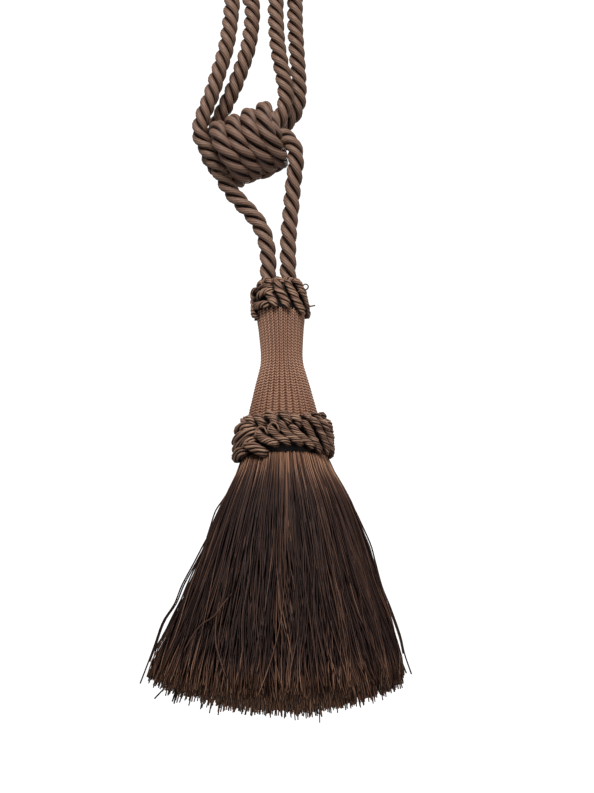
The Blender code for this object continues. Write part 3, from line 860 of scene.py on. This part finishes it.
def under_layer():
    """Wind the rope under the wraps, closed at both ends of the knot by a spiral."""
    turns = np.linspace(0.0, UNDER_TURNS[-1], 400)
    radius = np.interp(turns, UNDER_TURNS, UNDER_RADII)
    shift = np.interp(turns, UNDER_TURNS, UNDER_SHIFTS)
    return even_line(round_the_knot(TAU * turns, radius, shift), UNDER_STEP)


def make_knot():
    """Make the wound knot: four wraps of rope over an under layer, a tucked run and a core painted black as
    the shade in the grooves between the wraps.
    """
    weave = Weave()
    for side in (-1, 1):
        lay_plies(weave, wrap_line(side), 10 + side, (KNOT_LAY, KNOT_LAY), KNOT_PLY_RADIUS)
    lay_plies(weave, under_layer(), 12)
    lay_plies(weave, smooth_line(TUCKED_RUN, ROPE_STEP), 14, (KNOT_LAY, KNOT_LAY))
    # The core is painted black, tone 0: painted shade where the grooves between the wraps show it.
    place = np.linspace(-1.0, 1.0, CORE_RINGS)
    radius = CORE_RADIUS * np.sqrt(np.clip(1 - np.abs(place) ** 4, CORE_END_SHARE, 1))
    weave.tube(KNOT_CENTRE + KNOT_AXIS * (place * CORE_HALF_LENGTH)[:, None], radius, CORE_SIDES, 0.0)
    piece = weave.piece("knot_wraps", KNOT_YARN_SHADED)
    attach(piece, "root")
    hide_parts("knot")


# ---------------------------------------------------------------- head

def make_head():
    """Make the head's knitted cover, stitch by stitch, as relief on the turned mould."""
    depth = np.arange(KNIT_FROM, KNIT_TO, KNIT_STEP)
    sides = HEAD_WALES * POINTS_PER_WALE
    turn = np.arange(sides) / sides * TAU
    profile = smooth_line([(d, r, 0.0) for d, r in HEAD_PROFILE], MOULD_STEP)
    mould = np.interp(depth, profile[:, 0], profile[:, 1])
    wander = 0.06 * np.sin(turn * 7)[None] + 0.05 * np.sin(depth * 260)[:, None]
    wale = (turn / TAU * HEAD_WALES)[None] + WALE_WANDER * wander
    across = wale % 1.0 * 2 - 1
    rise = np.interp(depth, STITCH_RISE_DEPTHS, STITCH_RISES)
    row = (depth[:, None] + rise[:, None] * np.abs(across)) / STITCH_PITCH
    leg = (1 - (2 * (row % 1.0) - 1) ** 2) * (1 - LEG_PINCH * np.abs(2 * np.abs(across) - 1) ** 3)
    low = ease((depth - STRETCHED_FROM) / STRETCHED_RUN)[:, None]
    relief = -WALE_VALLEY * (1 - STRETCHED_VALLEY * low) * across ** 2 - STITCH_RELIEF * (1 - leg)
    radius = mould[:, None] + COVER_LIFT + relief
    points = np.stack((radius * np.cos(turn), radius * np.sin(turn),
                       np.broadcast_to(-depth[:, None], radius.shape)), axis=-1)
    # Painted shade in the gaps between the stitches' legs and in the wale valleys; at the front it is
    # flattened as painted light.
    front = np.exp(-(((turn - KNIT_FRONT_BEARING) / KNIT_FRONT_WIDTH) ** 2))
    fade = KNIT_FADE + KNIT_FADE_LOW * low + KNIT_FRONT_LIGHT_FADE * front
    tones = ease((leg - LEG_SHADE_FROM) / LEG_SHADE_RUN) * (1 - fade)
    tones = tones + fade * (WALE_TONE - WALE_VALLEY_SHADE * across ** 2)
    # The rings run down, so the sides are turned over to face out.
    weave = Weave()
    rings = hung(points)[:, ::-1]
    weave.tubes(rings[None], tones[:, ::-1][None], 6.0, (depth * 500)[None])
    piece = weave.piece("head_knit", KNIT_YARN)
    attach(piece, "root")
    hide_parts("head")


# ---------------------------------------------------------------- ruffs

def place_lobe(points, radius, tuck):
    """Return a lobe's centreline along its route, its ends tucked in towards the head."""
    points = np.array(points, float)
    first = points[0] - LOBE_RUN_IN * (points[1] - points[0])
    last = points[-1] + LOBE_RUN_OUT * (points[-1] - points[-2])
    points = np.vstack((first, points, last))
    out = np.full(len(points), radius)
    out[[0, -1]] -= tuck
    turn = np.radians(points[:, 0])
    line = np.stack((out * np.sin(turn), -out * np.cos(turn), -0.001 * points[:, 1]), axis=1)
    return smooth_line(line, LOBE_STEP)


def twist_lobe(weave, line, width, strands, lay, rng, facing=0.0, gain=1.0):
    """Twist a bundle of yarns into one plump lobe round a core painted black as shade.

    A yarn has painted light on its crest and where the lobe faces away from the head, and painted
    shade elsewhere. A facing above 0 turns that lit side upwards, and gain makes all of it paler.
    """
    walked = distances(line)
    share = walked / walked[-1]
    _, across, up = frames(line)
    # Painted light on the side that faces away from the head, turned upwards by facing.
    away = unit(np.column_stack((line[:, :2], facing * np.linalg.norm(line[:, :2], axis=1))))
    body = width * (LOBE_END_SHARE + (1 - LOBE_END_SHARE) * np.sqrt(1 - np.abs(2 * share - 1) ** 3))
    # The core is painted black: painted shade between the yarns.
    weave.tube(hung(line), LOBE_CORE_SHARE * body, LOBE_CORE_SIDES, 0.0)
    yarn = body * YARN_FULLNESS / (strands + YARN_FULLNESS)
    sides = np.arange(YARN_SIDES) / YARN_SIDES * TAU
    start = rng.uniform(0, TAU)
    rings, tones = [], []
    for strand in range(strands):
        turn = start + TAU * (strand + rng.uniform(-YARN_CROWDING, YARN_CROWDING)) / strands
        turn = turn - TAU * walked / lay
        lift = 1 + YARN_LIFT * np.sin(TAU * rng.uniform(0.6, 1.6) * share + rng.uniform(0, TAU))
        lift = (body - yarn) * lift
        path = line + lift[:, None] * (across * np.cos(turn)[:, None] + up * np.sin(turn)[:, None])
        _, strand_across, strand_up = frames(path)
        radius = (yarn * rng.uniform(*YARN_WIDTHS))[:, None, None]
        ring = path[:, None] + radius * (np.cos(sides)[:, None] * strand_across[:, None]
                                         + np.sin(sides)[:, None] * strand_up[:, None])
        offset = (ring - line[:, None]) / body[:, None, None]
        # Painted shade between the yarns and on the side that faces the head; painted light on the crests.
        crest = ease((np.linalg.norm(offset, axis=2) - YARN_SHADE_FROM) / YARN_SHADE_RUN)
        open_side = ease((offset * away[:, None]).sum(axis=2) - OPEN_SIDE_FROM)
        tone = rng.uniform(*YARN_TONES) + YARN_TONE_WAVE * np.sin(TAU * 2 * share + rng.uniform(0, TAU))
        rings.append(hung(ring))
        tones.append(np.clip(gain * tone[:, None] * crest * open_side, 0, 1))
    weave.tubes(np.array(rings), np.array(tones), 1.0, np.tile(walked, (strands, 1)))


def shade_sleeve(weave, rows):
    """Add a sleeve behind the lobes, painted black as the shade in the gaps between them: rows of depth and
    radius.
    """
    rows = np.array(rows)
    line = np.stack((np.zeros(len(rows)), np.zeros(len(rows)), -rows[:, 0]), axis=1)
    weave.tube(hung(line), rows[:, 1], SLEEVE_SIDES, 0.0)


def ruff_piece(weave, name, replaced):
    """Make one ruff's object."""
    piece = weave.piece(name, RUFF_YARN)
    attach(piece, "root")
    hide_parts(replaced)


def make_low_ruff():
    """Make the lower ruff: two tiers of twisted lobes, which lie aslant."""
    rng = np.random.default_rng(21)
    weave = Weave()
    shade_sleeve(weave, LOW_SLEEVE)
    for width, lay, points in LOW_FRONT_LOBES:
        twist_lobe(weave, place_lobe(points, LOW_RING_RADIUS, LOW_TUCK), width, LOW_STRANDS, lay, rng)
    for bearing in LOW_BACK_BEARINGS:
        depth = LOW_BACK_DEPTH + LOBE_SLANT * LOW_BACK_TURNS + rng.uniform(-0.5, 0.5)
        points = np.stack((bearing + LOW_BACK_TURNS + rng.uniform(-1, 1), depth), axis=1)
        line = place_lobe(points, LOW_RING_RADIUS, LOW_TUCK)
        twist_lobe(weave, line, LOW_BACK_WIDTH * rng.uniform(0.95, 1.05), LOW_STRANDS, LOBE_LAY, rng)
    for bearing, depth in LOW_UPPER_TUFTS:
        points = [(bearing + turn, depth + drop) for turn, drop in LOW_TUFT_ROUTE]
        line = place_lobe(points, LOW_UPPER_RADIUS, LOW_TUFT_TUCK)
        width = LOW_TUFT_WIDTH * rng.uniform(0.90, 1.08)
        twist_lobe(weave, line, width, LOW_STRANDS, LOBE_LAY, rng, LOW_TUFT_FACING)
    for points in LOW_THREAD_LOOPS:
        line = place_lobe(points, LOW_RING_RADIUS + LOW_THREAD_LIFT, LOW_THREAD_TUCK)
        weave.tube(hung(line), LOW_THREAD_RADIUS, THREAD_END_SIDES, LOW_THREAD_TONE)
    ruff_piece(weave, "ruff_low_lobes", "ruff_low")


def make_top_ruff():
    """Make the top ruff: one ring of thick, uneven twisted lobes."""
    rng = np.random.default_rng(5)
    weave = Weave()
    shade_sleeve(weave, TOP_SLEEVE)
    for width, points in TOP_FRONT_LOBES:
        line = place_lobe(points, TOP_RING_RADIUS, TOP_TUCK)
        twist_lobe(weave, line, width, TOP_STRANDS, TOP_LOBE_LAY, rng, gain=TOP_GAIN)
    for bearing in TOP_BACK_BEARINGS:
        depth = TOP_BACK_DEPTH + LOBE_SLANT * TOP_BACK_TURNS + rng.uniform(-0.8, 0.8)
        points = np.stack((bearing + TOP_BACK_TURNS, depth), axis=1)
        line = place_lobe(points, TOP_RING_RADIUS, TOP_TUCK)
        width = TOP_BACK_WIDTH * rng.uniform(0.92, 1.05)
        twist_lobe(weave, line, width, TOP_STRANDS, TOP_LOBE_LAY, rng, gain=TOP_GAIN)
    for points in TOP_SIDE_LOBES:
        line = place_lobe(points, TOP_RING_RADIUS - TOP_SIDE_INSET, TOP_SIDE_TUCK)
        twist_lobe(weave, line, TOP_SIDE_WIDTH, TOP_STRANDS, TOP_LOBE_LAY, rng, gain=TOP_GAIN)
    for bearing in TOP_CROWN_BEARINGS:
        drop = rng.uniform(-0.4, 0.4)
        points = [(bearing + turn, depth + drop) for turn, depth in TOP_CROWN_ROUTE]
        line = place_lobe(points, TOP_CROWN_RADIUS, TOP_CROWN_TUCK)
        width = TOP_CROWN_WIDTH * rng.uniform(0.9, 1.1)
        twist_lobe(weave, line, width, TOP_STRANDS, TOP_LOBE_LAY, rng, TOP_CROWN_FACING, TOP_GAIN)
    for points in TOP_THREAD_ENDS:
        line = smooth_line(hung(0.001 * np.array(points)), TOP_THREAD_STEP)
        weave.tube(line, TOP_THREAD_RADIUS, THREAD_END_SIDES, TOP_THREAD_TONE)
    ruff_piece(weave, "ruff_top_lobes", "ruff_top")


# ---------------------------------------------------------------- skirt

def wave(rng, count, bearing, t, low, high, turns):
    """Return a smooth random wave over the threads' bearings and lengths."""
    total = np.zeros((len(bearing), len(t)))
    for _ in range(count):
        total += np.sin(rng.integers(low, high) * bearing[:, None] + TAU * rng.uniform(0.2, turns) * t
                        + rng.uniform(0, TAU))
    return total / math.sqrt(count / 2)


def round_the_skirt(bearing, left, right, front):
    """Blend a measure of the left, the right and the front or back by bearing, 0 being the right."""
    to_right = (np.maximum(np.cos(bearing), 0.0) ** 2)[:, None]
    to_left = (np.maximum(-np.cos(bearing), 0.0) ** 2)[:, None]
    return to_left * left + to_right * right + (1 - to_left - to_right) * front


def outline(values, t):
    """Run a smooth line through the outline's values."""
    share = np.linspace(-OUTLINE_REACH, 1 + OUTLINE_REACH, 141)
    line = np.interp(share, OUTLINE_SHARE, values)
    blurred = np.convolve(line, np.ones(OUTLINE_BLUR) / OUTLINE_BLUR, mode="valid")
    cut = OUTLINE_BLUR // 2
    return np.interp(t, share[cut:-cut], blurred)


def thread_lines(rng, count, layers, rings):
    """Return threads' centrelines, (count, rings, 3), their bearings and layers, and each ring's share."""
    t = np.linspace(0.0, 1.0, rings)
    bearing = (np.arange(count) * GOLDEN_TURN + rng.uniform(-0.01, 0.01, count)) % TAU
    layer = rng.uniform(*layers, count)
    out = round_the_skirt(bearing, outline(OUTLINE_LEFT, t), outline(OUTLINE_RIGHT, t),
                          outline(OUTLINE_FRONT, t))
    spread = out * (layer ** LAYER_POWER)[:, None] * (1 - ROOT_DRAWN_IN * (1 - layer[:, None]) * (1 - t))
    end = round_the_skirt(bearing, END_LEFT, END_RIGHT, END_FRONT)[:, 0]
    end = SKIRT_DEEPEST - (SKIRT_DEEPEST - end) * layer ** END_POWER + rng.normal(0.0, END_UNEVEN, count)
    top = SKIRT_TOP - rng.uniform(0.0, ROOT_UNEVEN, count)
    fall = (top - SKIRT_TOP)[:, None] + (end - top)[:, None] * t
    free = t ** FREE_POWER
    groups = np.random.default_rng(WAVE_SEED)
    sideways = WAVE_SIDEWAYS * wave(groups, 6, bearing, t, 5, 34, 1.2) * free
    outward = WAVE_OUTWARD * wave(groups, 5, bearing, t, 4, 22, 1.2) * free
    own = rng.uniform(*OWN_TURNS, count)[:, None]
    sideways += rng.normal(0.0, DRIFT, count)[:, None] * t ** 1.3
    sideways += OWN_SIDEWAYS / own ** 0.6 * np.sin(TAU * own * t + rng.uniform(0, TAU, count)[:, None]) * free
    outward += OWN_OUTWARD * np.sin(TAU * own * t + rng.uniform(0, TAU, count)[:, None]) * free
    stray = (rng.uniform(0, 1, count) < STRAY_SHARE)[:, None]
    sideways += stray * rng.normal(0.0, STRAY_SIDEWAYS, count)[:, None] * t ** 1.5
    outward += stray * rng.uniform(*STRAY_OUTWARD, count)[:, None] * np.sin(math.pi * t)
    spread = spread + outward
    turn = bearing[:, None] + sideways / np.maximum(spread, 0.006)
    lines = np.stack((spread * np.cos(turn), spread * np.sin(turn),
                      np.broadcast_to(-SKIRT_TOP - fall, turn.shape)), axis=-1)
    return lines, bearing, layer, t


def add_threads(weave, lines, tones, radius):
    """Add threads as thin tubes, all at once. radius varies along them."""
    radius = radius[:, None]
    along = unit(np.gradient(lines, axis=1))
    outward = np.cross(along, (0.0, 0.0, 1.0))
    outward = unit(np.cross(outward, along))
    sideways = np.cross(along, outward)
    rings = []
    for side in range(THREAD_SIDES):
        turn = TAU * side / THREAD_SIDES
        rings.append(lines + radius * (math.cos(turn) * outward + math.sin(turn) * sideways))
    rings = np.stack(rings, axis=2)
    walked = np.cumsum(np.linalg.norm(np.diff(lines, axis=1, prepend=lines[:, :1]), axis=2), axis=1)
    offset = (np.arange(len(lines)) * 0.37)[:, None]
    # Painted light on each thread's outward side, painted shade on the other two.
    weave.tubes(rings, tones[..., None] * np.array(THREAD_SHADES), 1.0, walked + offset)


def thread_tones(rng, bearing, layer, t):
    """Return each thread's tone along its length, with painted light, pale and warm, at its root and its tip.
    """
    count = len(bearing)
    own = np.where(rng.uniform(0, 1, count) < PALE_SHARE,
                   rng.uniform(*PALE_TONES, count), rng.uniform(*DARK_TONES, count))
    low = ease((t - SKIRT_LOW_FROM) / SKIRT_LOW_RUN)
    tones = SKIRT_TONE + SKIRT_TONE_LOW * low + OWN_TONE * own[:, None]
    tones = tones + WAVE_TONE * wave(rng, 4, bearing, t, 6, 40, 1.0)
    tones = tones + BAND_TONE * np.sin(TAU * rng.uniform(*BAND_TURNS, count)[:, None] * t
                                       + rng.uniform(0, TAU, count)[:, None])
    # Painted light: the outer threads' roots, where the skirt turns out towards the light, are pale, more so
    # on the right and at the sides.
    lit = rng.uniform(*ROOT_LIGHT_LENGTHS, count) + ROOT_LIGHT_RIGHT * np.maximum(np.cos(bearing), 0.0)
    outer = ease((layer[:, None] - ROOT_LAYER_FROM) / ROOT_LAYER_RUN)
    root_light = rng.uniform(*ROOT_LIGHT_TONES, count)[:, None] * outer
    root_light = root_light * (ROOT_LIGHT_FRONT + ROOT_LIGHT_SIDES * np.cos(bearing[:, None]) ** 2)
    tones = tones + root_light * (1 - ease(t / lit[:, None]))
    # Painted shade on the inner threads up high, under the outer ones.
    behind = 1 - ease((layer[:, None] - BEHIND_LAYER_FROM) / BEHIND_LAYER_RUN)
    tones = tones - BEHIND_SHADE * behind * (1 - ease((t - BEHIND_FALL_FROM) / BEHIND_FALL_RUN))
    # Painted light: a sheen patch on the right front.
    sheen_patch = np.exp(-((bearing[:, None] - SHEEN_PATCH_BEARING) / SHEEN_PATCH_HALF_WIDTH) ** 2
                   - ((t - SHEEN_PATCH_MIDDLE) / SHEEN_PATCH_HALF_LENGTH) ** 2)
    tones = tones + SHEEN_PATCH_TONE * sheen_patch
    # Painted light on the tips, more on the inner threads, which the outer ones shade.
    tip = ease((t - TIP_FROM) / (1 - TIP_FROM))
    return tones + (TIP_LIGHT + TIP_LIGHT_INSIDE * (1 - layer[:, None])) * tip


def add_loose_threads(weave):
    """Add the threads that stand off the skirt, the long side ones with a fellow."""
    for i, points in enumerate(LOOSE_THREADS):
        line = 0.001 * np.array(points)
        line[:, 2] *= -1
        tone = LOOSE_PALE_TONE if i >= FIRST_PALE_THREAD else LOOSE_TONE
        weave.tube(smooth_line(hung(line), LOOSE_STEP), THREAD_RADIUS, LOOSE_SIDES, tone)
        if len(points) >= FELLOW_POINTS and abs(points[-1][0]) > FELLOW_REACH:
            line = line[:-1]
            line[:, 0] -= np.sign(line[:, 0]) * np.linspace(*FELLOW_INSET, len(line))
            line[:, 1] -= FELLOW_FORWARD
            weave.tube(smooth_line(hung(line), LOOSE_STEP), THREAD_RADIUS, LOOSE_SIDES, FELLOW_TONE)


def make_skirt():
    """Make the skirt of loose threads, the inner ones first."""
    for name, seed, count, layers, rings in SKIRT_LAYERS:
        rng = np.random.default_rng(seed)
        lines, bearing, layer, t = thread_lines(rng, count, layers, rings)
        weave = Weave()
        tones = thread_tones(rng, bearing, layer, t)
        width = THREAD_ROOT_WIDTH + (1 - THREAD_ROOT_WIDTH) * ease(t / THREAD_FREE_FROM)
        add_threads(weave, hung(lines), np.clip(tones, 0, 1), THREAD_RADIUS * width)
        if name == "skirt_outer":
            add_loose_threads(weave)
        piece = weave.piece(name, SKIRT_YARN)
        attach(piece, "root")
        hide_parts("skirt")


# ---------------------------------------------------------------- studio

def make_floor():
    """Lay a plain pale floor well under the tassel."""
    height = CAD_BOX[0].z - FLOOR_DROP
    mesh = bpy.data.meshes.new("floor")
    size = FLOOR_HALF_SIZE
    corners = [(-size, -size, height), (size, -size, height), (size, size, height), (-size, size, height)]
    mesh.from_pydata(corners, [], [(0, 1, 2, 3)])
    mesh.materials.append(plain_material("floor_paint", FLOOR_PAINT, FLOOR_ROUGHNESS))
    floor = bpy.data.objects.new("floor", mesh)
    floor.visible_diffuse = False
    floor.visible_glossy = False
    bpy.context.scene.collection.objects.link(floor)


def make_light(name, light):
    """Add a soft area light that faces the tassel."""
    data = bpy.data.lights.new(name, "AREA")
    data.size = light["size"]
    data.energy = light["power"]
    lamp = bpy.data.objects.new(name, data)
    lamp.location = light["place"]
    lamp.rotation_euler = (Vector(LIGHT_AIM) - Vector(light["place"])).to_track_quat("-Z", "Y").to_euler()
    bpy.context.scene.collection.objects.link(lamp)


def make_studio():
    """White surroundings, a pale floor and soft lights."""
    world = bpy.data.worlds.new("studio")
    world.use_nodes = True
    nodes = world.node_tree.nodes
    link = world.node_tree.links.new
    ambient = nodes["Background"]
    ambient.inputs["Color"].default_value = (1.0, 1.0, 1.0, 1.0)
    ambient.inputs["Strength"].default_value = AMBIENT_STRENGTH
    backdrop = nodes.new("ShaderNodeBackground")
    backdrop.inputs["Color"].default_value = (1.0, 1.0, 1.0, 1.0)
    backdrop.inputs["Strength"].default_value = BACKDROP_STRENGTH
    seen = nodes.new("ShaderNodeLightPath")
    choose = nodes.new("ShaderNodeMixShader")
    link(seen.outputs["Is Camera Ray"], choose.inputs[0])
    link(ambient.outputs["Background"], choose.inputs[1])
    link(backdrop.outputs["Background"], choose.inputs[2])
    link(choose.outputs["Shader"], nodes["World Output"].inputs["Surface"])
    bpy.context.scene.world = world
    bpy.context.scene.view_settings.view_transform = "Standard"
    make_floor()
    make_light("key", KEY)
    make_light("fill", FILL)
    make_light("low", LOW)
    make_light("rear", REAR)


make_camera()
make_ropes()
make_knot()
make_head()
make_top_ruff()
make_low_ruff()
make_skirt()
make_studio()
